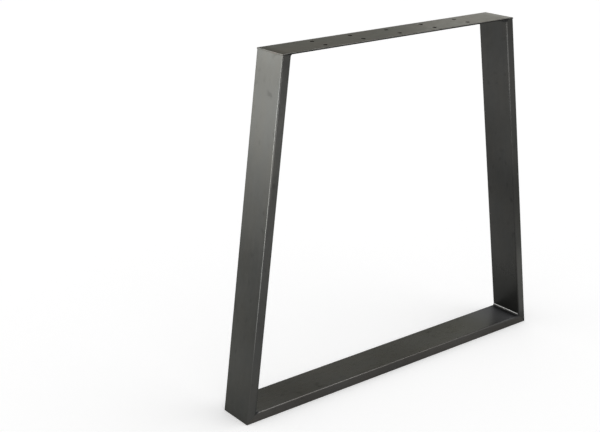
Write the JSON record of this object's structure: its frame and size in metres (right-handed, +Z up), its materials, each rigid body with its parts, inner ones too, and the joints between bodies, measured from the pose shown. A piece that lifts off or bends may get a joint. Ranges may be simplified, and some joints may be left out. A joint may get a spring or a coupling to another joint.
{
  "type": "trestle table leg",
  "caption": "Welded trapezoid table leg: leaning posts of flat rectangular steel tube on a mitred foot bar, under a thin drilled strip that is screwed to the underside of a table top.",
  "frame": {"origin": "on the floor, under the middle of the foot bar", "axes": "+X along the foot bar, +Y across the wide side of the tube, +Z up towards the table top"},
  "size_m": [0.786, 0.08, 0.72],
  "materials": {
    "tube_steel": "raw blackened steel under a thin clear satin coat, faintly mottled, streaked lengthwise",
    "strip_steel": "raw flat bar under a thin clear satin coat, warm grey, streaked lengthwise",
    "weld_metal": "brushed weld bead, brighter than the tube, finely rippled"
  },
  "bodies": {
    "root": {"top_strip": "strip_steel", "foot_bar": "tube_steel", "left_post": "tube_steel", "right_post": "tube_steel", "left_foot_weld": "weld_metal", "right_foot_weld": "weld_metal", "left_top_weld": "weld_metal", "right_top_weld": "weld_metal"}
  },
  "joints": []
}
